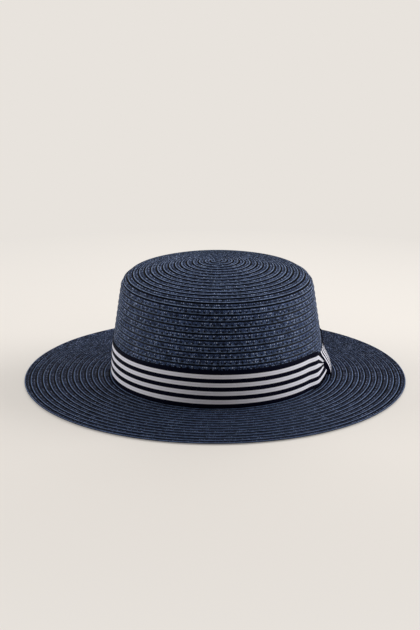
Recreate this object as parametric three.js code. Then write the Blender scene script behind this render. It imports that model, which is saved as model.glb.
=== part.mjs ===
import * as THREE from "three";

// A boater-style straw hat, lying on its brim: sewn braid crown and brim, a ribbon band
// round the crown and the ribbon wrap that gathers the band at one side.
// Millimetres, +Z up, the brim's edge rests on z = 0, -Y is the front, +X the wearer's left.

// Whole hat
const ovalExtra = 11; // how much longer the half-depth is than the half-width, outside the shoulder
const clearance = 0.3; // between pieces that are sewn to each other

// Sewn straw braid
const strawThickness = 1.1; // one layer of braid
const braidLap = 0.6; // how far the edge of a row stands over the next row
const rowPitch = 5; // visible width of one row of braid
const lapRun = 0.5; // slope length of the step between two rows

// Crown
const crownHeight = 96.5;
const domeRadius = 380;
const shoulderRadius = 12.5;
const crownFootHalfWidth = 89;
const crownLean = THREE.MathUtils.degToRad(8.5); // how far the wall leans in above the band, from upright
const footLean = THREE.MathUtils.degToRad(3.7); // the same behind the band, which draws the wall in
const crownShift = 1.9; // the crown sits this far to the wearer's left of the brim's middle

// Brim
const brimHalfWidth = 160;
const brimRise = 3; // underside beside the crown, above the floor
const brimDroop = 1.6; // 1 is a straight cone, more droops towards the edge
const restWidth = 4.5; // flat ring under the edge that lies on the floor
const edgeRounding = 0.4;
const brimMargin = 1.2; // flat strip outside the crown's foot, where the first row starts

// Ribbon band, and the wrap that gathers it
const bandWidth = 31;
const bandThickness = 0.7;
const bandEase = 0.45; // between the band and the straw
const wrapAngle = THREE.MathUtils.degToRad(-6); // from +X towards the front
const wrapFootWidth = 20; // across the wrap, along the crown
const wrapTopWidth = 28;
const wrapLow = 7; // lowest point of the wrap above the floor
const wrapHeight = 23.5;
const wrapBulge = 7.2; // how far the wrap stands off the straw at its fullest
const wrapSlant = 0.2; // its top leans to the front by this share of the height
const wrapSkin = 1; // ribbon layers of the wrap
const wrapSewn = 5; // its top is sewn down on the straw over this height
const gatherLength = 5; // stretch in which the band narrows, on each side of the wrap
const gatherMargin = 2; // the band stays gathered this far past the wrap's edges
const pleatDepth = 0.6;
const pleatCount = 3;

// Fineness of the facets
const strawSegments = 44;
const innerStations = 16; // profile points inside the crown
const underStations = 7; // and under the brim
const bandSegments = 56;
const bandRows = 7;
const wrapSteps = 8;
const facetCrowding = 0.72; // 0 spaces the band's facets evenly, more crowds them near the wrap

// The wrap's outline from its foot to its top: height as a share of wrapHeight, and
// how far it stands out as a share of wrapBulge.
const wrapOutline = [
  { height: 0, bulge: 0.6 },
  { height: 0.05, bulge: 0.88 },
  { height: 0.15, bulge: 1 },
  { height: 0.3, bulge: 0.92 },
  { height: 0.45, bulge: 0.77 },
  { height: 0.6, bulge: 0.58 },
  { height: 0.75, bulge: 0.42 },
  { height: 0.88, bulge: 0.25 },
  { height: 1, bulge: 0.14 },
];

const ridge = strawThickness + braidLap;
const brimTop = brimRise + ridge; // upper face of the brim beside the crown
const footHeight = brimTop + clearance; // where the crown's wall and the band begin
const bandLow = footHeight;
const bandHigh = bandLow + bandWidth;

// Outer face of the crown's ridges, at a height behind the band.
function wallHalfWidth(height) {
  return crownFootHalfWidth - Math.tan(footLean) * (height - footHeight);
}

// Centre line of the crown's outer face, from the middle of the top down to the foot:
// a shallow dome, a rounded shoulder, a leaning wall and a steeper one behind the band.
function crownLine() {
  const outward = new THREE.Vector2(Math.cos(crownLean), Math.sin(crownLean));
  const upward = new THREE.Vector2(-Math.sin(crownLean), Math.cos(crownLean));
  const knee = new THREE.Vector2(wallHalfWidth(bandHigh), bandHigh);
  const domeCentre = new THREE.Vector2(0, crownHeight - domeRadius);
  const start = knee.clone().addScaledVector(outward, -shoulderRadius);
  const fromDome = start.clone().sub(domeCentre);
  const reach = domeRadius - shoulderRadius;
  const half = fromDome.dot(upward);
  const climb = -half + Math.sqrt(half * half - fromDome.lengthSq() + reach * reach);
  const centre = start.clone().addScaledVector(upward, climb);
  const join = centre.clone().sub(domeCentre).angle();
  const line = new THREE.Path();
  line.moveTo(0, crownHeight);
  line.absarc(domeCentre.x, domeCentre.y, domeRadius, Math.PI / 2, join, true);
  line.absarc(centre.x, centre.y, shoulderRadius, join, crownLean, true);
  line.lineTo(knee.x, knee.y);
  line.lineTo(crownFootHalfWidth, footHeight);
  return { line, shoulderHalfWidth: centre.x + shoulderRadius * outward.x };
}

const { line: crownOuter, shoulderHalfWidth } = crownLine();
crownOuter.arcLengthDivisions = 2000;

// A point on a line, moved inwards by a depth.
function pointInside(line, distance, depth) {
  const share = THREE.MathUtils.clamp(distance / line.getLength(), 0, 1);
  const point = line.getPointAt(share);
  const along = line.getTangentAt(share);
  return new THREE.Vector2(Math.max(point.x + depth * along.y, 0), point.y - depth * along.x);
}

// Half-depth that belongs to a half-width: the oval of the head, fading to round at the top's centre.
function halfDepth(halfWidth) {
  const extra = ovalExtra * Math.min(1, halfWidth / shoulderHalfWidth);
  return halfWidth + extra;
}

// Sideways shift of a level: the whole crown is shifted, and the brim's edge is not.
function shiftAt(halfWidth) {
  const outwards = (halfWidth - crownFootHalfWidth) / (brimHalfWidth - crownFootHalfWidth);
  return crownShift * (1 - THREE.MathUtils.clamp(outwards, 0, 1));
}

// Place on the hat of a half-width, an angle and a height.
function onOval(halfWidth, angle, height) {
  const x = shiftAt(halfWidth) + halfWidth * Math.cos(angle);
  return new THREE.Vector3(x, halfDepth(halfWidth) * Math.sin(angle), height);
}

// Turns a profile of (half-width, height) points round the hat, and bends every point by a rule.
function turned(profile, segments, place) {
  const geometry = new THREE.LatheGeometry(profile, segments);
  const position = geometry.attributes.position;
  for (let i = 0; i < position.count; i++) {
    const halfWidth = Math.hypot(position.getX(i), position.getZ(i));
    const angle = Math.atan2(-position.getZ(i), position.getX(i));
    const point = place(halfWidth, angle, position.getY(i));
    position.setXYZ(i, point.x, point.y, point.z);
  }
  geometry.computeVertexNormals();
  return geometry;
}

function straw(name, profile, color) {
  const material = new THREE.MeshStandardMaterial({ color, roughness: 0.7, metalness: 0 });
  const mesh = new THREE.Mesh(turned(profile, strawSegments, onOval), material);
  mesh.name = name;
  return mesh;
}

// Crown: rows of braid from the middle of the top to the band, each lapping over the next.
function makeCrown() {
  const wallLength = (bandHigh - footHeight) / Math.cos(footLean);
  const full = crownOuter.getLength();
  const rowsLength = full - wallLength;
  const rows = Math.round(rowsLength / rowPitch);
  const pitch = rowsLength / rows;
  const outer = [];
  for (let row = 0; row < rows; row++) {
    outer.push(pointInside(crownOuter, row * pitch + (row ? lapRun : 0), row ? braidLap : 0));
    outer.push(pointInside(crownOuter, (row + 1) * pitch, 0));
  }
  outer.push(pointInside(crownOuter, full, 0));
  const inner = [];
  for (let i = 0; i <= innerStations; i++) {
    inner.push(pointInside(crownOuter, (full * i) / innerStations, ridge));
  }
  inner[innerStations].y = footHeight;
  return straw("crown", [...inner, ...outer.reverse()], 0x2b3a5c);
}

// Brim: a flat margin that the crown's wall is sewn down on, then rows of braid out to the edge.
function makeBrim() {
  const rowsStart = crownFootHalfWidth + brimMargin;
  const rows = Math.round((brimHalfWidth - rowsStart) / rowPitch);
  const pitch = (brimHalfWidth - rowsStart) / rows;
  const reach = brimHalfWidth - restWidth - crownFootHalfWidth;
  const under = (halfWidth) => {
    const outwards = THREE.MathUtils.clamp((halfWidth - crownFootHalfWidth) / reach, 0, 1);
    return brimRise * (1 - Math.pow(outwards, brimDroop));
  };
  const opening = crownFootHalfWidth - ridge / Math.cos(footLean);
  const profile = [new THREE.Vector2(opening, brimRise)];
  for (let i = 0; i <= underStations; i++) {
    const halfWidth = crownFootHalfWidth + (reach * i) / underStations;
    profile.push(new THREE.Vector2(halfWidth, under(halfWidth)));
  }
  profile.push(new THREE.Vector2(brimHalfWidth - edgeRounding, 0));
  profile.push(new THREE.Vector2(brimHalfWidth, edgeRounding));
  profile.push(new THREE.Vector2(brimHalfWidth, ridge - edgeRounding));
  for (let row = rows - 1; row >= 0; row--) {
    const outerEnd = rowsStart + (row + 1) * pitch - (row === rows - 1 ? edgeRounding : 0);
    const innerEnd = rowsStart + row * pitch + lapRun;
    profile.push(new THREE.Vector2(outerEnd, under(outerEnd) + ridge));
    profile.push(new THREE.Vector2(innerEnd, under(innerEnd) + strawThickness));
  }
  profile.push(new THREE.Vector2(rowsStart, brimTop));
  profile.push(new THREE.Vector2(opening, brimTop));
  profile.push(profile[0].clone());
  return straw("brim", profile, 0x27334f);
}

// Distance along the crown between an angle and the middle of the wrap.
function fromWrap(angle) {
  const turn = Math.atan2(Math.sin(angle - wrapAngle), Math.cos(angle - wrapAngle));
  return turn * crownFootHalfWidth;
}

// How far the wrap's middle has moved towards the front at a height.
function slantAt(height) {
  return wrapSlant * (height - wrapLow - wrapHeight / 2);
}

function wrapWidthAt(height) {
  return THREE.MathUtils.lerp(wrapFootWidth, wrapTopWidth, (height - wrapLow) / wrapHeight);
}

// 1 under the wrap, falling to 0 where the band lies flat again.
function gathered(distance, height) {
  const start = wrapWidthAt(height) / 2 + gatherMargin;
  return 1 - THREE.MathUtils.smoothstep(Math.abs(distance), start, start + gatherLength);
}

const gatherLow = wrapLow + wrapSkin + clearance;
const gatherHigh = wrapLow + wrapHeight - wrapSewn - clearance;
// How far the wrap's outer face stands off the straw at a height.
function wrapStand(height) {
  const share = THREE.MathUtils.clamp((height - wrapLow) / wrapHeight, 0, 1);
  const above = Math.max(1, wrapOutline.findIndex((row) => row.height >= share));
  const low = wrapOutline[above - 1];
  const high = wrapOutline[above];
  const mix = (share - low.height) / (high.height - low.height);
  return wrapBulge * THREE.MathUtils.lerp(low.bulge, high.bulge, mix);
}

// Band: a flat ribbon round the crown that narrows, thickens and pleats under the wrap.
function makeBand() {
  const profile = [new THREE.Vector2(crownFootHalfWidth, 0)];
  for (let i = 0; i <= bandRows; i++) {
    profile.push(new THREE.Vector2(crownFootHalfWidth + bandThickness, i / bandRows));
  }
  profile.push(new THREE.Vector2(crownFootHalfWidth, 1));
  profile.push(profile[0].clone());
  const place = (halfWidth, angle, across) => {
    const turn = fromWrap(angle) / crownFootHalfWidth;
    const closer = turn - facetCrowding * Math.sin(turn);
    const level = THREE.MathUtils.lerp(gatherLow, gatherHigh, across);
    const near = gathered(closer * crownFootHalfWidth + slantAt(level), level);
    const low = THREE.MathUtils.lerp(bandLow, gatherLow, near);
    const high = THREE.MathUtils.lerp(bandHigh, gatherHigh, near);
    const height = THREE.MathUtils.lerp(low, high, across);
    const outside = halfWidth - crownFootHalfWidth > bandThickness / 2;
    const room = wrapStand(height) - wrapSkin - clearance - bandThickness;
    const pleat = pleatDepth * (1 - Math.cos(2 * Math.PI * pleatCount * across)) / 2;
    const lift = outside ? near * (room - pleat) : 0;
    const base = wallHalfWidth(height) + bandEase;
    return onOval(base + halfWidth - crownFootHalfWidth + lift, wrapAngle + closer, height);
  };
  const material = new THREE.MeshStandardMaterial({ color: 0xc9cbdd, roughness: 0.55, metalness: 0 });
  const mesh = new THREE.Mesh(turned(profile, bandSegments, place), material);
  mesh.name = "hat_band";
  return mesh;
}

// Wrap: the same ribbon taken upright round the gathered band, open towards the crown.
function makeWrap() {
  const section = new THREE.Shape();
  section.moveTo(0, wrapLow);
  for (const row of wrapOutline) {
    section.lineTo(row.bulge * wrapBulge, wrapLow + row.height * wrapHeight);
  }
  section.lineTo(0, wrapLow + wrapHeight);
  const cavityHigh = gatherHigh + clearance;
  const cavityLow = gatherLow - clearance;
  section.lineTo(0, cavityHigh);
  section.lineTo(wrapStand(cavityHigh) - wrapSkin, cavityHigh);
  for (const row of [...wrapOutline].reverse()) {
    const height = wrapLow + row.height * wrapHeight;
    if (height < cavityHigh && height > cavityLow) {
      section.lineTo(row.bulge * wrapBulge - wrapSkin, height);
    }
  }
  section.lineTo(wrapStand(cavityLow) - wrapSkin, cavityLow);
  section.lineTo(0, cavityLow);
  section.closePath();
  const geometry = new THREE.ExtrudeGeometry(section, {
    depth: 1,
    steps: wrapSteps,
    bevelEnabled: false,
  });
  const position = geometry.attributes.position;
  for (let i = 0; i < position.count; i++) {
    const height = position.getY(i);
    const side = (position.getZ(i) - 0.5) * wrapWidthAt(height) + slantAt(height);
    const halfWidth = wallHalfWidth(height) + bandEase + position.getX(i);
    const point = onOval(halfWidth, wrapAngle - side / crownFootHalfWidth, height);
    position.setXYZ(i, point.x, point.y, point.z);
  }
  geometry.computeVertexNormals();
  const material = new THREE.MeshStandardMaterial({ color: 0x15182c, roughness: 0.5, metalness: 0 });
  const mesh = new THREE.Mesh(geometry, material);
  mesh.name = "band_wrap";
  return mesh;
}

const hat = new THREE.Group();
hat.add(makeCrown(), makeBrim(), makeBand(), makeWrap());

export default hat;
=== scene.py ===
import bmesh
import bpy
import math
import random
from mathutils import Matrix, Vector


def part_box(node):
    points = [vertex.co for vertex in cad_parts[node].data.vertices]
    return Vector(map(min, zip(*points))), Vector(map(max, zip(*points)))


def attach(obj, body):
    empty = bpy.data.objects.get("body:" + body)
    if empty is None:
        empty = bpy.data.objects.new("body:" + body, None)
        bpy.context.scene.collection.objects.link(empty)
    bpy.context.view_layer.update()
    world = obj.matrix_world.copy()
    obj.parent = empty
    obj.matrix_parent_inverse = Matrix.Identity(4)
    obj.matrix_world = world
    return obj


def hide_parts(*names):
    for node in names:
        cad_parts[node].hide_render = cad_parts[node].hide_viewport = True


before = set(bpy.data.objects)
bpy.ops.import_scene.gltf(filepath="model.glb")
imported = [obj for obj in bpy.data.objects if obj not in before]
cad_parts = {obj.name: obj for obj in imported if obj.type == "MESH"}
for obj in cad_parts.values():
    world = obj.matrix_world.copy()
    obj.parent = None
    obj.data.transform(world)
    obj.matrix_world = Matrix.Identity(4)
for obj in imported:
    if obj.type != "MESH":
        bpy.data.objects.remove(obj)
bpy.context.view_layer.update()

mm = 0.001
mergeWithin = 1e-6  # metres; points closer than this become one
crownLow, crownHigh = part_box("crown")
brimLow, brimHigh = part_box("brim")
bandLow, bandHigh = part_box("hat_band")
wrapLow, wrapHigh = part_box("band_wrap")

# The hat's form. Its outer sizes come from the frame, the rest is given here, in metres.
hatForm = {
    "domeRadius": 380 * mm,
    "shoulderRadius": 12.5 * mm,
    "leanDegrees": 8.5,       # how far the crown's wall leans in above the band
    "footLeanDegrees": 3.7,   # the same behind the band
    "ovalExtra": 11 * mm,     # half-depth less half-width
    "brimRise": 3 * mm,       # underside of the brim beside the crown
    "brimDroop": 1.6,         # 1 is a straight slope, more is flatter near the crown
    "restWidth": 4.5 * mm,    # flat ring under the brim's edge
    "strawDepth": 1.7 * mm,   # both layers where one row laps over the next
    "brimMargin": 1.2 * mm,   # flat strip outside the crown's foot
    "tipBack": 17 * mm,       # how far behind its middle the top's rows start
    "wrapDegrees": -6,        # angle of the wrap from +X, more is further to the back
    "wrapSlant": 0.2,         # its top leans to the front by this share of the height
}
crownHeight = crownHigh.z
footHeight = crownLow.z
footHalfWidth = (crownHigh.x - crownLow.x) / 2
crownShift = (crownHigh.x + crownLow.x) / 2
brimHalfWidth = (brimHigh.x - brimLow.x) / 2
lean = math.radians(hatForm["leanDegrees"])
footLean = math.radians(hatForm["footLeanDegrees"])


# Shape of the crown and the brim

def wallHalfWidth(height):
    # outer face of the straw behind the band
    return footHalfWidth - math.tan(footLean) * (height - footHeight)


def solveCrown():
    # where the dome, the shoulder's arc, the leaning wall and the wall behind the band meet
    domeRadius, shoulderRadius = hatForm["domeRadius"], hatForm["shoulderRadius"]
    outward = Vector((math.cos(lean), math.sin(lean)))
    upward = Vector((-math.sin(lean), math.cos(lean)))
    knee = Vector((wallHalfWidth(bandHigh.z), bandHigh.z))
    domeCentre = Vector((0, crownHeight - domeRadius))
    start = knee - outward * shoulderRadius
    away = start - domeCentre
    reach = domeRadius - shoulderRadius
    half = away.dot(upward)
    climb = -half + math.sqrt(half * half - away.length_squared + reach * reach)
    centre = start + upward * climb
    joinAngle = math.atan2(centre.x - domeCentre.x, centre.y - domeCentre.y)
    return {
        "centre": centre,
        "join": joinAngle,
        "domeLength": domeRadius * joinAngle,
        "shoulderLength": shoulderRadius * (math.pi / 2 - lean - joinAngle),
        "wallLength": climb,
        "footLength": (bandHigh.z - footHeight) / math.cos(footLean),
    }


crownArcs = solveCrown()
shoulderHalfWidth = crownArcs["centre"].x + hatForm["shoulderRadius"] * math.cos(lean)
crownLength = sum(crownArcs[part] for part in ("domeLength", "shoulderLength", "wallLength", "footLength"))
crownLimits = (0, crownLength)


def crownLine(distance):
    # half-width, height and outward direction at a distance from the middle of the top
    distance = min(max(distance, crownLimits[0]), crownLimits[1])
    domeRadius, shoulderRadius = hatForm["domeRadius"], hatForm["shoulderRadius"]
    if distance < crownArcs["domeLength"]:
        turn = distance / domeRadius
        centre, radius = Vector((0, crownHeight - domeRadius)), domeRadius
    else:
        turn = crownArcs["join"] + (distance - crownArcs["domeLength"]) / shoulderRadius
        centre, radius = crownArcs["centre"], shoulderRadius
    if turn < math.pi / 2 - lean:
        outX, outZ = math.sin(turn), math.cos(turn)
        return centre.x + radius * outX, centre.y + radius * outZ, outX, outZ
    left = crownLength - distance
    if left < crownArcs["footLength"]:
        outX, outZ = math.cos(footLean), math.sin(footLean)
        return footHalfWidth - left * outZ, footHeight + left * outX, outX, outZ
    left -= crownArcs["footLength"]
    outX, outZ = math.cos(lean), math.sin(lean)
    return wallHalfWidth(bandHigh.z) - left * outZ, bandHigh.z + left * outX, outX, outZ


def brimLine(distance):
    # the same for the brim's upper face, at a distance from the crown's foot
    halfWidth = footHalfWidth + distance
    reach = brimHalfWidth - hatForm["restWidth"] - footHalfWidth
    outwards = min(max(distance / reach, 0), 1)
    height = hatForm["brimRise"] * (1 - outwards ** hatForm["brimDroop"]) + hatForm["strawDepth"]
    return min(halfWidth, brimHalfWidth), height, 0, 1


def onOval(halfWidth, angle, height):
    # place on the hat at a half-width, an angle from +X and a height
    halfWidth = max(halfWidth, 0)
    halfDepth = halfWidth + hatForm["ovalExtra"] * min(1, halfWidth / shoulderHalfWidth)
    outwards = (halfWidth - footHalfWidth) / (brimHalfWidth - footHalfWidth)
    shift = crownShift * (1 - min(max(outwards, 0), 1))
    back = hatForm["tipBack"] * max(0, 1 - (halfWidth / shoulderHalfWidth) ** 2) ** 2
    return Vector((shift + halfWidth * math.cos(angle), halfDepth * math.sin(angle) + back, height))


# Sewn braid

braid = {
    "pitch": 5 * mm,           # visible width of one row
    "step": 2.1 * mm,          # spacing of the cross-sections along the row
    "stitch": 7.2 * mm,        # spacing of the places that the sewing pulls in
    "holeDepth": 0.35 * mm,
    "waver": 0.10 * mm,        # how unevenly the rows are sewn
    "bumps": 0.05 * mm,        # how uneven the braid's own surface is
    "easeIn": 12 * mm,         # the unevenness fades out this near a strip's ends
    "turnStart": 2.4,          # angle where the crown's spiral starts, in radians
    "turnSteps": 26,           # at least this many sections in one turn
}

# Cross-section of one row, all the way round it: across as a share of the pitch, and the depth
# below the hat's outer face in millimetres. Its first point is tucked under the row before. No two
# depths are the same, so that points stay apart where a row is pressed flat at the crown's foot.
braidSection = [
    {"across": -0.26, "depth": 1.20},
    {"across": -0.03, "depth": 1.12},
    {"across": 0.09, "depth": 0.92},
    {"across": 0.18, "depth": 0.50},
    {"across": 0.36, "depth": 0.32},
    {"across": 0.53, "depth": 0.42},
    {"across": 0.63, "depth": 0.68},
    {"across": 0.70, "depth": 0.48},
    {"across": 0.77, "depth": 0.10},
    {"across": 0.85, "depth": 0.00},
    {"across": 0.94, "depth": 0.12},
    {"across": 0.98, "depth": 0.52},
    {"across": 0.94, "depth": 0.86},
    {"across": 0.60, "depth": 1.18},
    {"across": 0.20, "depth": 1.45},
    {"across": -0.20, "depth": 1.70},
]
holeRows = {5: 0.4, 6: 1.0, 7: 0.5}  # section points that a stitch pulls in, and how much
bumpRows = range(1, 12)              # section points on the outer face


def unevenness(rng):
    # a smooth random function of the distance along a row, from four waves 50 to 300 mm long
    waves = [(rng.uniform(0.02, 0.12), rng.uniform(0, 6.28), rng.uniform(0.3, 1)) for _ in range(4)]
    total = sum(size for rate, phase, size in waves)

    def height(along):
        return sum(size * math.sin(along / mm * rate + phase) for rate, phase, size in waves) / total
    return height


def stationsAlong(line, spiral, first, last):
    # turn number and length along the row at each cross-section
    stations = [(float(first), 0.0)]
    while stations[-1][0] < last - 1e-9:
        turn, along = stations[-1]
        middle = ((turn if spiral else first) + 0.5) * braid["pitch"]
        girth = 2 * math.pi * (line(max(middle, 0))[0] + hatForm["ovalExtra"] / 4)
        part = min(braid["step"] / girth, 1 / braid["turnSteps"], last - turn)
        if last - turn - part < part / 2:
            part = last - turn  # no short piece is left over at the end
        stations.append((turn + part, along + part * girth))
    return stations


def braidPiece(name, line, rows, spiral, limits, seed):
    # rows of braid sewn side by side, as one long spiral strip or as closed rings; line gives the
    # hat's outer face at a distance, and limits are the first and the last distance used
    rng = random.Random(seed)
    pitch = braid["pitch"]
    bm = bmesh.new()
    uvLayer = bm.loops.layers.uv.new("braid")
    strips = [(rows[0], rows[-1] + 1)] if spiral else [(row, row + 1) for row in rows]
    for first, last in strips:
        stations = stationsAlong(line, spiral, first, last)
        stripLength = stations[-1][1]
        waver, bump = unevenness(rng), unevenness(rng)
        startAngle = braid["turnStart"] if spiral else rng.uniform(0, 2 * math.pi)
        phase, shiftAlong = rng.uniform(0, 1), rng.uniform(0, 9)
        longCount, roundCount = len(stations) - 1, len(braidSection)
        made = bmesh.ops.create_grid(bm, x_segments=longCount, y_segments=roundCount, size=0.5)["verts"]
        spot = {v: (round((v.co.x + 0.5) * longCount), round((v.co.y + 0.5) * roundCount)) for v in made}
        faces = {f for v in made for f in v.link_faces}
        for face in faces:
            for loop in face.loops:
                i, j = spot[loop.vert]
                row = braidSection[j % roundCount]
                loop[uvLayer].uv = (stations[i][1] + shiftAlong, row["across"])
        if spiral:
            for end in (0, longCount):  # the strip's two cut ends
                ring = {j: v for v, (i, j) in spot.items() if i == end}
                bm.faces.new([ring[j] for j in range(roundCount)])
        for v, (i, j) in spot.items():
            turn, along = stations[i]
            closing = min(1, along / braid["easeIn"], (stripLength - along) / braid["easeIn"])
            row = braidSection[j % roundCount]
            stitch = math.cos(2 * math.pi * (along / braid["stitch"] + phase))
            pull = holeRows.get(j, 0) * braid["holeDepth"] * max(0, stitch) ** 2 * closing
            across = row["across"] * pitch + waver(along) * braid["waver"] * closing
            start = (turn if spiral else first) * pitch
            distance = min(max(start + across, limits[0]), limits[1])
            halfWidth, height, outX, outZ = line(distance)
            depth = row["depth"] * mm + pull
            if j in bumpRows:
                depth += bump(along) * braid["bumps"] * closing
            angle = startAngle + 2 * math.pi * turn
            v.co = onOval(halfWidth - outX * depth, angle, max(height - outZ * depth, 0))
    bmesh.ops.remove_doubles(bm, verts=bm.verts, dist=mergeWithin)
    bmesh.ops.recalc_face_normals(bm, faces=bm.faces)
    return meshPiece(name, bm)


def meshPiece(name, bm):
    # a smooth-shaded object at the origin from a finished bmesh
    for face in bm.faces:
        face.smooth = True
    mesh = bpy.data.meshes.new(name)
    bm.to_mesh(mesh)
    bm.free()
    piece = bpy.data.objects.new(name, mesh)
    bpy.context.scene.collection.objects.link(piece)
    return piece


print("straw braid")
crownRows = math.ceil(crownLength / braid["pitch"])
tipRows = round((crownArcs["domeLength"] + crownArcs["shoulderLength"] / 2) / braid["pitch"])
crownTip = braidPiece("crown_tip_braid", crownLine, range(-1, tipRows), True, crownLimits, 11)
sideRows = range(tipRows, crownRows + 1)
crownSide = braidPiece("crown_side_braid", crownLine, sideRows, True, crownLimits, 12)
brimReach = brimHalfWidth - footHalfWidth - hatForm["brimMargin"]
brimRows = round(brimReach / braid["pitch"])
brimStretch = brimReach / (brimRows * braid["pitch"])


def brimRowLine(distance):
    # rows are counted from the margin outside the crown's foot
    return brimLine(hatForm["brimMargin"] + distance * brimStretch)


brimInner = -hatForm["brimMargin"] - hatForm["strawDepth"] / math.cos(footLean)
brimLimits = (brimInner, brimRows * braid["pitch"])
brimBraid = braidPiece("brim_braid", brimRowLine, range(-1, brimRows), False, brimLimits, 13)
for piece, node, slotName in (
        (crownTip, "crown", "straw_crown"),
        (crownSide, "crown", "straw_crown"),
        (brimBraid, "brim", "straw_brim")):
    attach(piece, "root")
    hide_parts(node)


# Ribbon

ribbon = {
    "width": 31 * mm,
    "thickness": 0.45 * mm,
    "ease": 0.15 * mm,         # between the band and the straw
    "gatherLow": 20 * mm,      # from the band's crease to the wrap, along its lower edge
    "gatherHigh": 13 * mm,     # and along its upper edge
    "liftOff": 2.5 * mm,       # how far the band stands off the straw at the crease
    "liftLength": 15 * mm,     # and over what length before it
    "wrapNarrow": 20 * mm,     # width of the wrap at its foot
    "wrapWide": 31 * mm,       # and at its top
    "edgeShare": 0.01,         # the band is thinner this near its two edges, as a share of its width
    "edgeThin": 0.7,           # and by this factor
    "swayFade": 0.25,          # share of the width, from the lower edge, over which the sway starts
    "shortCut": 10 * mm,       # the flat band is this much shorter than the crown's girth at its foot
    "wrapLength": 33 * mm,     # flat length of the wrap's ribbon
    "wrapStretch": 1.4,        # length along the wrap's face against its height
    "wrapSkin": 0.8 * mm,
    "wrapLip": 2.2 * mm,       # how far its two edges curl in
    "lipNarrow": 9,            # each curled edge takes 1/9 of the width
    "foldFoot": 10,            # the folds reach their depth within 1/10 of the length at the foot
    "foldTop": 8,              # and within 1/8 at the top
    "pleat": -0.1 * mm,        # how deep the dark stripes of the wrap fold in, here slightly out
    "pleatPull": -0.15,        # share by which the folds draw a dark stripe together
    "stripePitch": 6.75 * mm,
    "firstStripe": 5.1 * mm,   # middle of the lowest white stripe
    "stripes": 4,
}

# Where a line across the band goes as it passes under the wrap: across as a share of the
# ribbon's width from its lower edge, height above the floor and stand from the straw in millimetres.
gatherTable = [
    {"across": 0, "height": 8.6, "stand": 1.5},
    {"across": 0.11, "height": 10.6, "stand": 3.4},
    {"across": 0.165, "height": 12.0, "stand": 4.0},
    {"across": 0.22, "height": 13.4, "stand": 3.8},
    {"across": 0.33, "height": 15.6, "stand": 2.0},
    {"across": 0.38, "height": 16.6, "stand": 1.8},
    {"across": 0.44, "height": 17.3, "stand": 2.2},
    {"across": 0.55, "height": 17.8, "stand": 1.2},
    {"across": 0.6, "height": 18.4, "stand": 2.2},
    {"across": 0.66, "height": 19.0, "stand": 2.4},
    {"across": 0.76, "height": 19.8, "stand": 1.6},
    {"across": 0.82, "height": 20.6, "stand": 2.4},
    {"across": 0.88, "height": 21.6, "stand": 2.4},
    {"across": 1, "height": 24.4, "stand": 0.8},
]

# How far the band lies above its level line, by the angle from the wrap towards the back.
bandSway = [
    {"degrees": -180, "up": 0},
    {"degrees": -140, "up": -0.1},
    {"degrees": -107, "up": 0.5},
    {"degrees": -78, "up": 0.1},
    {"degrees": -55, "up": -0.5},
    {"degrees": -28, "up": -0.9},
    {"degrees": -18, "up": -1.2},
    {"degrees": 0, "up": -0.7},
    {"degrees": 40, "up": 0},
    {"degrees": 180, "up": 0},
]

# The wrap's outer face from its foot to its top: along as a share of its length, then height
# above the floor and stand from the straw in millimetres.
wrapTable = [
    {"along": 0.00, "height": 8.1, "stand": 1.0},
    {"along": 0.08, "height": 6.9, "stand": 4.0},
    {"along": 0.17, "height": 7.2, "stand": 6.6},
    {"along": 0.26, "height": 9.8, "stand": 7.2},
    {"along": 0.39, "height": 13.4, "stand": 6.6},
    {"along": 0.52, "height": 17.0, "stand": 5.6},
    {"along": 0.65, "height": 20.4, "stand": 4.2},
    {"along": 0.77, "height": 23.6, "stand": 2.7},
    {"along": 0.88, "height": 26.4, "stand": 1.3},
    {"along": 1.00, "height": 29.2, "stand": 0.6},
]


def between(table, key, value, wanted):
    # a column of a table at a place between two rows, eased so that no corner shows
    rows = [row for row in table if row[key] <= value] or table[:1]
    at = min(table.index(rows[-1]), len(table) - 2)
    low, high = table[at], table[at + 1]
    before, after = table[max(at - 1, 0)], table[min(at + 2, len(table) - 1)]
    span = high[key] - low[key]
    share = min(max((value - low[key]) / span, 0), 1)
    slopeLow = (high[wanted] - before[wanted]) / max(high[key] - before[key], 1e-9) * span
    slopeHigh = (after[wanted] - low[wanted]) / max(after[key] - low[key], 1e-9) * span
    squared, cubed = share * share, share ** 3
    return ((2 * cubed - 3 * squared + 1) * low[wanted] + (cubed - 2 * squared + share) * slopeLow
            + (3 * squared - 2 * cubed) * high[wanted] + (cubed - squared) * slopeHigh)


def ease(value):
    # 0 to 1 with a soft start and a soft end
    value = min(max(value, 0), 1)
    return value * value * (3 - 2 * value)


def loopPiece(name, longCount, roundCount, closed, place, uvName):
    # a grid bent so that its short side closes on itself, and its long side too if it is closed;
    # place gives a point and a pattern coordinate for two shares
    bm = bmesh.new()
    uvLayer = bm.loops.layers.uv.new(uvName)
    made = bmesh.ops.create_grid(bm, x_segments=longCount, y_segments=roundCount, size=0.5)["verts"]
    spot = {v: (round((v.co.x + 0.5) * longCount), round((v.co.y + 0.5) * roundCount)) for v in made}
    placed = {at: place(at[0], at[1] % roundCount) for at in spot.values()}
    for face in bm.faces:
        for loop in face.loops:
            loop[uvLayer].uv = placed[spot[loop.vert]][1]
    for v, at in spot.items():
        v.co = placed[at][0]
    bmesh.ops.remove_doubles(bm, verts=bm.verts, dist=mergeWithin)
    if not closed:
        bmesh.ops.holes_fill(bm, edges=[e for e in bm.edges if e.is_boundary], sides=0)
    bmesh.ops.recalc_face_normals(bm, faces=bm.faces)
    return meshPiece(name, bm)


wrapAngle = math.radians(hatForm["wrapDegrees"])
wrapMiddle = (wrapLow.z + wrapHigh.z) / 2
bandGrid = {"along": 560, "outer": 30, "inner": 8, "crowding": 0.6}  # crowding: closer near the wrap
wrapGrid = {"across": 84, "outer": 36, "inner": 14, "slopeStep": 0.01}


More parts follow.
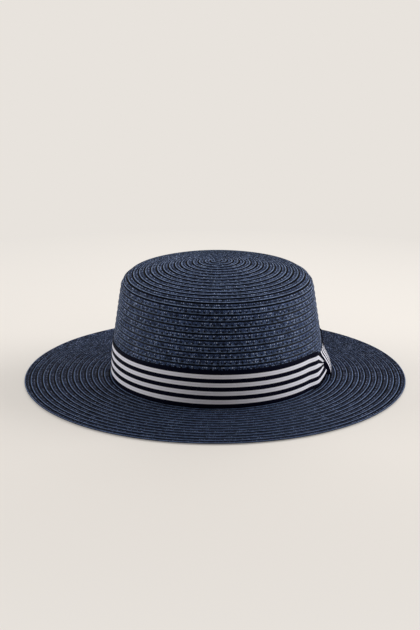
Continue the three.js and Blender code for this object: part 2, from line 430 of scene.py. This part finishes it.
def slantAt(height):
    # how far the wrap's middle is moved to the front at a height
    return hatForm["wrapSlant"] * (height - wrapMiddle)


def wrapWidthAt(height):
    share = (height - wrapLow.z) / (wrapHigh.z - wrapLow.z)
    return ribbon["wrapNarrow"] + (ribbon["wrapWide"] - ribbon["wrapNarrow"]) * share


def bandPlace(i, j):
    # the band's outer face goes up across the ribbon, its inner face comes back down
    turn = 2 * math.pi * i / bandGrid["along"] - math.pi
    angle = turn - bandGrid["crowding"] * math.sin(turn)
    outside = j <= bandGrid["outer"]
    across = j / bandGrid["outer"] if outside else 1 - (j - bandGrid["outer"]) / bandGrid["inner"]
    sway = between(bandSway, "degrees", math.degrees(angle), "up") * mm
    sway *= min(across / ribbon["swayFade"], 1)
    flatHeight = bandLow.z + (bandHigh.z - bandLow.z) * across + sway
    gatherHeight = between(gatherTable, "across", across, "height") * mm
    past = abs(angle * footHalfWidth + slantAt(gatherHeight)) - wrapWidthAt(gatherHeight) / 2
    gatherLength = ribbon["gatherLow"] + (ribbon["gatherHigh"] - ribbon["gatherLow"]) * across
    near = 1 - min(max(past / gatherLength, 0), 1)
    height = flatHeight + (gatherHeight - flatHeight) * near
    lift = ribbon["liftOff"] * ease(1 - (past - gatherLength) / ribbon["liftLength"])
    stand = near * between(gatherTable, "across", across, "stand") * mm + (1 - near) * lift
    skin = ribbon["thickness"] if outside else 0
    if min(across, 1 - across) < ribbon["edgeShare"]:
        skin *= ribbon["edgeThin"]
    halfWidth = wallHalfWidth(height) + ribbon["ease"] + stand + skin
    along = (angle + math.pi) * (footHalfWidth + hatForm["ovalExtra"] / 2)
    return onOval(halfWidth, wrapAngle + angle, height), (along, across)


print("ribbon band")
bandRound = bandGrid["outer"] + bandGrid["inner"]
hatBand = loopPiece("ribbon_band", bandGrid["along"], bandRound, True, bandPlace, "ribbon")
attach(hatBand, "root")
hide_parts("hat_band")


def wrapSection(along):
    # stand from the straw and height above the floor, at a share of the wrap's length
    stand = between(wrapTable, "along", along, "stand")
    return Vector((stand, between(wrapTable, "along", along, "height"))) * mm


def wrapPlace(i, j):
    # the long side goes across the wrap from its back edge to its front edge, the short side goes
    # up its outer face and back down its inner face
    across = i / wrapGrid["across"]
    outside = j <= wrapGrid["outer"]
    along = j / wrapGrid["outer"] if outside else 1 - (j - wrapGrid["outer"]) / wrapGrid["inner"]
    spot = wrapSection(along)
    nextSpot = wrapSection(min(along + wrapGrid["slopeStep"], 1))
    ahead = nextSpot - wrapSection(max(along - wrapGrid["slopeStep"], 0))
    outwards = Vector((ahead.y, -ahead.x)).normalized()
    phase = 2 * math.pi * (across * ribbon["width"] - ribbon["firstStripe"]) / ribbon["stripePitch"]
    ends = min(1, ribbon["foldFoot"] * along, ribbon["foldTop"] * (1 - along))
    folded = ribbon["pleat"] * (1 - math.cos(phase)) / 2 * ends
    lip = 1 - ease(min(across, 1 - across) * ribbon["lipNarrow"])
    spot -= outwards * (folded + lip * ribbon["wrapLip"] + (0 if outside else ribbon["wrapSkin"]))
    stripeShare = ribbon["stripePitch"] / (2 * math.pi * ribbon["width"])
    pull = ribbon["pleatPull"] * ends * stripeShare * math.sin(phase)
    side = (across + pull - 0.5) * wrapWidthAt(spot.y) + slantAt(spot.y)
    halfWidth = wallHalfWidth(spot.y) + ribbon["ease"] + max(spot.x, 0)
    upFace = along * ribbon["wrapStretch"] * (wrapHigh.z - wrapLow.z)
    return onOval(halfWidth, wrapAngle - side / footHalfWidth, spot.y), (upFace, across)


print("ribbon wrap")
wrapRound = wrapGrid["outer"] + wrapGrid["inner"]
bandWrap = loopPiece("ribbon_wrap", wrapGrid["across"], wrapRound, False, wrapPlace, "ribbon")
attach(bandWrap, "root")
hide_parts("band_wrap")


# Materials

def linear(hexColour):
    # sRGB hex to the linear colour that shaders use
    parts = [int(hexColour[i:i + 2], 16) / 255 for i in (1, 3, 5)]
    return [p / 12.92 if p <= 0.04045 else ((p + 0.055) / 1.055) ** 2.4 for p in parts] + [1]


def addNode(tree, kind, inputs=None, **settings):
    # one node with its settings, and its sockets set or linked
    node = tree.nodes.new(kind)
    for name, value in settings.items():
        setattr(node, name, value)
    for socket, value in (inputs or {}).items():
        if isinstance(value, bpy.types.NodeSocket):
            tree.links.new(value, node.inputs[socket])
        else:
            node.inputs[socket].default_value = value
    return node


def sums(tree, operation, first, second=0.0, third=0.0):
    return addNode(tree, "ShaderNodeMath", {0: first, 1: second, 2: third}, operation=operation).outputs[0]


def product(tree, first, second):
    return sums(tree, "MULTIPLY", first, second)


def sine(tree, value):
    return sums(tree, "SINE", value)


def pair(tree, x, y):
    return addNode(tree, "ShaderNodeCombineXYZ", {0: x, 1: y}).outputs[0]


def ranged(tree, value, low, high, toLow=0.0, toHigh=1.0):
    return addNode(tree, "ShaderNodeMapRange", {
        "Value": value, "From Min": low, "From Max": high, "To Min": toLow, "To Max": toHigh}).outputs[0]


def bandMask(tree, value, low, high, soft):
    # 1 between two values, with soft ends
    rise = ranged(tree, value, low - soft, low + soft)
    fall = ranged(tree, value, high + soft, high - soft)
    return product(tree, rise, fall)


def noiseAt(tree, x, y, scale, detail=2.0):
    inputs = {"Vector": pair(tree, x, y), "Scale": scale, "Detail": detail}
    return addNode(tree, "ShaderNodeTexNoise", inputs).outputs[0]


def randomAt(tree, x, y):
    # one random value for each pair of whole numbers
    spot = pair(tree, x, y)
    return addNode(tree, "ShaderNodeTexWhiteNoise", {"Vector": spot}, noise_dimensions="2D").outputs[0]


def mixed(tree, share, first, second, blend="MIX"):
    inputs = {0: share, 6: first, 7: second}
    return addNode(tree, "ShaderNodeMix", inputs, data_type="RGBA", blend_type=blend).outputs[2]


def newMaterial(name):
    material = bpy.data.materials.new(name)
    material.use_nodes = True
    tree = material.node_tree
    tree.nodes.clear()
    return material, tree


def finish(tree, colour, relief, roughness, look):
    # the surface itself, from its colour, its relief and how matt it is
    bump = addNode(tree, "ShaderNodeBump", {
        "Height": relief, "Strength": look["bumpStrength"], "Distance": look["bumpHeight"]})
    shader = addNode(tree, "ShaderNodeBsdfPrincipled", {
        "Base Color": colour, "Roughness": roughness, "Normal": bump.outputs[0],
        "IOR": 1.5, "Specular IOR Level": look["specular"]})
    addNode(tree, "ShaderNodeOutputMaterial", {0: shader.outputs[0]})


strawLook = {
    "strandPitch": 1.75,          # mm along the row
    "strandMiddle": 0.36,         # share of a row's width from which the slant of the strands is measured
    "wander": 2.4,                # mm by which the strands are pushed along the row
    "wanderScale": 0.30,          # of the noise that pushes them, in 1/mm as all scales here
    "crossSoft": 0.25,            # how soft the change from one strand to the next is
    "crossLight": 0.42,           # painted shade: how light the strands that go the other way are painted, as if they caught less light
    "strandLight": (0.15, 1.25),  # darkest and lightest strand
    "stitch": 5.0,                # mm between the sewing holes
    "holeBand": (0.52, 0.78),     # where they are, as shares of a row's width
    "holeEdge": (0.25, 0.75),     # and how sharp along the row
    "patch": 9.0,                 # mm over which the braid gets lighter and darker
    "patchWide": 0.3,             # the same across the rows, where it changes more slowly
    "patchEdge": (0.32, 0.68),
    "patchLight": (0.5, 0.6),     # how much lighter a light patch is, and how light a dark one is
    "cordScale": 0.5,             # of the noise that breaks the painted highlight on the rolled edge
    "cordEdge": (0.35, 0.6),
    "cordHeight": 0.7,            # of the rolled edge against a strand
    "bumpStrength": 0.9,
    "bumpHeight": 0.4 * mm,
    "roughness": (0.65, 0.45),    # of a dark patch and of a light one
    "specular": 0.09,
}

# The three places where the braid is seen, each a copy of the same paper straw painted lighter or darker
# for how the light falls there. Bands are shares of a row's width.
strawLooksWithPaintedLight = {
    # The first colour is painted shade in the gaps and the sewing holes, the second painted shade in the
    # creases between strands, lit a painted highlight on the strands' crowns, and cord a painted highlight
    # on the rolled edge.
    "wall": {
        "paintedCavityShade": "#010206", "paintedCreaseShade": "#080e1d", "strand": "#4d618c", "lit": "#b0bedb", "cord": "#687ca1",
        "wovenBand": (0.18, 0.72), "cordBand": (0.75, 0.93),
        "cordBreaks": 0.7, "cordStrands": 0.5, "holes": 1.0},
    "top": {
        "paintedCavityShade": "#010206", "paintedCreaseShade": "#050a16", "strand": "#42547b", "lit": "#a9bade", "cord": "#7c90b6",
        "wovenBand": (0.24, 0.72), "cordBand": (0.78, 0.93),
        "cordBreaks": 0.5, "cordStrands": 0.4, "holes": 0.8},
    "brim": {
        "paintedCavityShade": "#010205", "paintedCreaseShade": "#04070f", "strand": "#2b3858", "lit": "#8391b4", "cord": "#6f84ad",
        "wovenBand": (0.22, 0.76), "cordBand": (0.82, 0.94),
        "cordBreaks": 0.4, "cordStrands": 0.25, "holes": 0.4},
}


def paperStraw(name, look):
    # dyed paper straw plaited into a flat braid: strands, a sewn line, a rolled edge and a gap; painted
    # shade darkens the gap, the sewing holes and the creases between strands, and painted highlights
    # lighten the strands' crowns and the rolled edge
    material, tree = newMaterial(name)
    uv = addNode(tree, "ShaderNodeUVMap", uv_map="braid").outputs[0]
    parts = addNode(tree, "ShaderNodeSeparateXYZ", {0: uv})
    across = parts.outputs[1]
    rowPitch = braid["pitch"] / mm
    acrossMm = sums(tree, "MULTIPLY_ADD", across, rowPitch, -strawLook["strandMiddle"] * rowPitch)
    straight = product(tree, parts.outputs[0], 1 / mm)
    pushed = noiseAt(tree, straight, acrossMm, strawLook["wanderScale"])
    along = sums(tree, "MULTIPLY_ADD", pushed, strawLook["wander"], straight)
    # plait: strands cross at a slant, every second cell is the strand of the other direction; the pillow
    # shape gives the relief and also paints light on each strand's crown and shade in the creases, and the
    # other direction is painted darker
    first = sums(tree, "DIVIDE", sums(tree, "ADD", along, acrossMm), strawLook["strandPitch"])
    second = sums(tree, "DIVIDE", sums(tree, "SUBTRACT", along, acrossMm), strawLook["strandPitch"])
    firstWave, secondWave = (sine(tree, product(tree, count, math.pi)) for count in (first, second))
    weave = product(tree, firstWave, secondWave)
    pillow = sums(tree, "SQRT", sums(tree, "ABSOLUTE", weave))
    soft = strawLook["crossSoft"]
    upright = ranged(tree, weave, -soft, soft, strawLook["crossLight"], 1.0)
    cell = randomAt(tree, sums(tree, "FLOOR", first), sums(tree, "FLOOR", second))
    patchAcross = product(tree, acrossMm, strawLook["patchWide"])
    patch = noiseAt(tree, straight, patchAcross, 1 / strawLook["patch"], 3.0)
    patch = ranged(tree, patch, *strawLook["patchEdge"])
    # where the parts of a row are
    woven = bandMask(tree, across, *look["wovenBand"], 0.05)
    cord = bandMask(tree, across, *look["cordBand"], 0.03)
    stitches = sine(tree, product(tree, along, 2 * math.pi / strawLook["stitch"]))
    sewn = bandMask(tree, across, *strawLook["holeBand"], 0.05)
    holes = product(tree, sewn, ranged(tree, stitches, *strawLook["holeEdge"], 0.0, look["holes"]))
    # how light each place is: painted light and shade on the strands, in the gap, on the rolled edge and
    # in the holes, with random tone from strand to strand and in patches
    strand = product(tree, pillow, upright)
    strandLight = product(tree, strand, ranged(tree, cell, 0.0, 1.0, *strawLook["strandLight"]))
    strandLight = product(tree, strandLight, sums(tree, "MULTIPLY_ADD", patch, *strawLook["patchLight"]))
    # painted shade in the creases between strands, the strand's own colour in between, and a painted
    # highlight on their crowns
    ramp = addNode(tree, "ShaderNodeValToRGB", {0: strandLight})
    ramp.color_ramp.elements[0].color = linear(look["paintedCreaseShade"])
    ramp.color_ramp.elements[1].color = linear(look["lit"])
    ramp.color_ramp.elements.new(0.5).color = linear(look["strand"])
    # painted shade: outside the woven band, in the gap between rows and beside the rolled edge, the braid
    # takes a nearly black colour
    colour = mixed(tree, woven, linear(look["paintedCavityShade"]), ramp.outputs[0])
    # painted highlight on the rolled edge, broken up by noise and strand by strand
    breaks = noiseAt(tree, straight, acrossMm, strawLook["cordScale"], 3.0)
    cordLight = ranged(tree, breaks, *strawLook["cordEdge"], 1 - look["cordBreaks"], 1.0)
    cordCell = randomAt(tree, sums(tree, "FLOOR", second), 3.0)
    cordLight = product(tree, cordLight, ranged(tree, cordCell, 0.0, 1.0, 1 - look["cordStrands"], 1.0))
    colour = mixed(tree, product(tree, cord, cordLight), colour, linear(look["cord"]))
    # painted shade: the sewing holes take the same nearly black colour
    colour = mixed(tree, holes, colour, linear(look["paintedCavityShade"]))
    # raised strands and cord, pulled in at the sewing
    relief = product(tree, woven, strand)
    relief = sums(tree, "ADD", relief, product(tree, cord, strawLook["cordHeight"]))
    relief = sums(tree, "SUBTRACT", relief, holes)
    finish(tree, colour, relief, ranged(tree, patch, 0.0, 1.0, *strawLook["roughness"]), strawLook)
    return material


ribbonLook = {
    "white": "#e4e4ee",
    "whiteSeam": "#c9c8d6",     # a fine line along the middle of each white stripe
    "navy": "#06081a",
    "rib": 0.9,                 # mm between the ribs of the weave
    "ribEdge": 0.04,            # mm by which the ribs push a stripe's edge
    "ribLight": 0.04,           # painted light and shade: how much lighter a rib is painted than the cloth, and a groove darker
    "whiteWidth": 3.3,          # mm
    "whiteSoft": 0.10,          # mm, of its edges
    "seamWidth": 0.3,           # mm
    "seamSoft": 0.2,
    "clothLight": (0.2, 0.87),  # how much the cloth varies, and its darkest place
    "clothScale": 0.9,
    "bumpStrength": 0.15,
    "bumpHeight": 0.2 * mm,
    "roughness": 0.55,
    "specular": 0.02,
}


def grosgrain(name):
    # polyester grosgrain ribbon, woven in stripes: fine ribs across it and a low satin sheen
    material, tree = newMaterial(name)
    uv = addNode(tree, "ShaderNodeUVMap", uv_map="ribbon").outputs[0]
    parts = addNode(tree, "ShaderNodeSeparateXYZ", {0: uv})
    along = product(tree, parts.outputs[0], 1 / mm)
    acrossMm = product(tree, parts.outputs[1], ribbon["width"] / mm)
    ribs = sine(tree, product(tree, along, 2 * math.pi / ribbonLook["rib"]))
    edge = sums(tree, "MULTIPLY_ADD", ribs, ribbonLook["ribEdge"], acrossMm)
    colour = linear(ribbonLook["navy"])
    halfWhite, halfSeam = ribbonLook["whiteWidth"] / 2, ribbonLook["seamWidth"] / 2
    for stripe in range(ribbon["stripes"]):
        middle = (ribbon["firstStripe"] + stripe * ribbon["stripePitch"]) / mm
        white = bandMask(tree, edge, middle - halfWhite, middle + halfWhite, ribbonLook["whiteSoft"])
        colour = mixed(tree, white, colour, linear(ribbonLook["white"]))
        seam = bandMask(tree, edge, middle - halfSeam, middle + halfSeam, ribbonLook["seamSoft"])
        colour = mixed(tree, seam, colour, linear(ribbonLook["whiteSeam"]))
    fuzz = noiseAt(tree, along, acrossMm, ribbonLook["clothScale"], 4.0)
    dim = sums(tree, "MULTIPLY_ADD", fuzz, *ribbonLook["clothLight"])
    # painted light on the ribs and painted shade in the grooves between them
    dim = sums(tree, "MULTIPLY_ADD", ribs, ribbonLook["ribLight"], dim)
    shade = addNode(tree, "ShaderNodeCombineColor", {0: dim, 1: dim, 2: dim}).outputs[0]
    finish(tree, mixed(tree, 1.0, colour, shade, "MULTIPLY"), ribs, ribbonLook["roughness"], ribbonLook)
    return material


print("materials")
# one copy of the paper straw for each place, painted lighter or darker for how the light falls there
for piece, place in ((crownSide, "wall"), (crownTip, "top"), (brimBraid, "brim")):
    piece.data.materials.append(paperStraw("navy paper straw, painted light for the " + place, strawLooksWithPaintedLight[place]))
stripedRibbon = grosgrain("striped grosgrain ribbon")
hatBand.data.materials.append(stripedRibbon)
bandWrap.data.materials.append(stripedRibbon)


# Camera, floor and light

photoView = {
    "elevation": 16.62,            # degrees above the horizon
    "distance": 1.5,
    "target": Vector((0, 0, 0.030)),
    "pixelsPerMetre": 1190.8,      # at the target
    "targetPixel": (215.0, 341.9),
    "frame": (420, 630),
    "sensor": 36,                  # mm
    "clip": (0.01, 50),
}


def makeCamera():
    data = bpy.data.cameras.new("camera")
    camera = bpy.data.objects.new("camera", data)
    bpy.context.scene.collection.objects.link(camera)
    up = math.radians(photoView["elevation"])
    back = Vector((0, -math.cos(up), math.sin(up)))
    focalPixels = photoView["pixelsPerMetre"] * photoView["distance"]
    data.sensor_width = photoView["sensor"]
    data.lens = focalPixels / photoView["frame"][1] * data.sensor_width
    data.clip_start, data.clip_end = photoView["clip"]
    camera.location = photoView["target"] + back * photoView["distance"]
    right = (photoView["targetPixel"][0] - photoView["frame"][0] / 2) / focalPixels
    down = (photoView["targetPixel"][1] - photoView["frame"][1] / 2) / focalPixels
    look = (-back).to_track_quat("-Z", "Y").to_matrix()
    aim = look @ Matrix.Rotation(math.atan(down), 3, "X") @ Matrix.Rotation(math.atan(right), 3, "Y")
    camera.rotation_euler = aim.to_euler()
    bpy.context.scene.camera = camera


studio = {
    "floorSize": 12,
    "paper": "#e4dfd9",
    "surroundings": "#e8e3dd",    # colour of the light and of the paper far from the hat
    "worldLight": 0.35,
    "shadowReach": (0.24, 0.55),  # distances from the hat between which its shadow fades out
    "shadowShare": (0.3, 1.0),    # how much the paper glows near the hat and far from it
}


def makeFloor():
    bm = bmesh.new()
    bmesh.ops.create_grid(bm, x_segments=1, y_segments=1, size=studio["floorSize"])
    floor = meshPiece("floor", bm)
    material, tree = newMaterial("pale studio paper")
    diffuse = addNode(tree, "ShaderNodeBsdfDiffuse", {"Color": linear(studio["paper"])})
    glow = addNode(tree, "ShaderNodeEmission", {"Color": linear(studio["surroundings"]), "Strength": 1.0})
    spot = addNode(tree, "ShaderNodeTexCoord").outputs["Object"]
    away = addNode(tree, "ShaderNodeVectorMath", {0: spot}, operation="LENGTH").outputs["Value"]
    share = ranged(tree, away, *studio["shadowReach"], *studio["shadowShare"])
    both = addNode(tree, "ShaderNodeMixShader", {0: share, 1: diffuse.outputs[0], 2: glow.outputs[0]})
    addNode(tree, "ShaderNodeOutputMaterial", {0: both.outputs[0]})
    floor.data.materials.append(material)


lights = [
    {"name": "rightBox", "place": (1.7, 0.34, 0.8), "size": 1.3, "power": 34},
    {"name": "leftBox", "place": (-1.8, 0.34, 0.7), "size": 1.3, "power": 21},
    {"name": "topBox", "place": (0.2, 0.9, 1.8), "size": 1.6, "power": 6},
    {"name": "backBox", "place": (0.3, 2.0, 1.1), "size": 1.8, "power": 28, "glossy": False},
]


def makeLights():
    for light in lights:
        data = bpy.data.lights.new(light["name"], "AREA")
        data.shape = "SQUARE"
        data.size = light["size"]
        data.energy = light["power"]
        lamp = bpy.data.objects.new(light["name"], data)
        lamp.location = light["place"]
        aim = photoView["target"] - lamp.location
        lamp.rotation_euler = aim.to_track_quat("-Z", "Y").to_euler()
        lamp.visible_glossy = light.get("glossy", True)
        bpy.context.scene.collection.objects.link(lamp)
    world = bpy.data.worlds.new("studio")
    bpy.context.scene.world = world
    world.use_nodes = True
    background = world.node_tree.nodes["Background"]
    background.inputs[0].default_value = linear(studio["surroundings"])
    background.inputs[1].default_value = studio["worldLight"]


print("camera, floor and light")
makeCamera()
makeFloor()
makeLights()
bpy.context.scene.view_settings.view_transform = "Standard"
